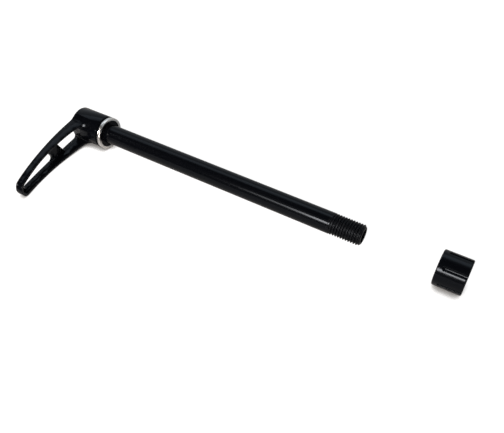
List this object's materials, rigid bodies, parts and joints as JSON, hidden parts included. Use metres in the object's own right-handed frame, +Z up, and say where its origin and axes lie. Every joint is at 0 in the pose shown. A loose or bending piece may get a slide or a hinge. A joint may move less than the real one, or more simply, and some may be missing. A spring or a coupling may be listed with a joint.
{
  "type": "bicycle thru axle",
  "caption": "Bicycle thru axle with a skeleton lever on a sprung ratchet spline, a loose clamp ring, a threaded tip and a ribbed barrel nut drawn off in line.",
  "frame": {"origin": "centre of the clamp ring's shaft-side face, on the shaft's axis", "axes": "+X along the shaft to its threaded tip, +Z up, the lever arm pointing along -Y and drooping by a few degrees until it touches the ground"},
  "size_m": [0.2526, 0.0757, 0.02],
  "materials": {
    "shaft_black": "gloss black anodised",
    "lever_black": "gloss black anodised",
    "nut_black": "gloss black anodised",
    "ring_steel": "turned bright steel",
    "washer_steel": "stamped steel",
    "screw_steel": "black oxide steel",
    "spring_steel": "drawn spring wire",
    "seal_rubber": "moulded rubber"
  },
  "bodies": {
    "axle": {"axle_shaft": "shaft_black", "keeper_ring": "seal_rubber", "retaining_screw": "screw_steel", "screw_washer": "washer_steel", "lever_spring": "spring_steel"},
    "seat": {"spring_seat": "washer_steel"},
    "lever": {"lever": "lever_black"},
    "washer": {"clamp_washer": "ring_steel"},
    "nut": {"barrel_nut": "nut_black"}
  },
  "joints": [
    {"name": "lever_pull", "type": "slide", "parent": "axle", "child": "seat", "axis": [-1, 0, 0], "range_m": [0, 0.0045], "stiffness_N_per_m": 1500, "springref_m": -0.003, "deforming": ["lever_spring"]},
    {"name": "lever_turn", "type": "hinge", "parent": "seat", "child": "lever", "pos_m": [0, 0, 0], "axis": [1, 0, 0], "continuous": true},
    {"name": "washer_spin", "type": "hinge", "parent": "axle", "child": "washer", "pos_m": [0, 0, 0], "axis": [1, 0, 0], "continuous": true},
    {"name": "nut_travel", "type": "slide", "parent": "axle", "child": "nut", "axis": [1, 0, 0], "range_m": [-0.0575, 0.11]}
  ]
}
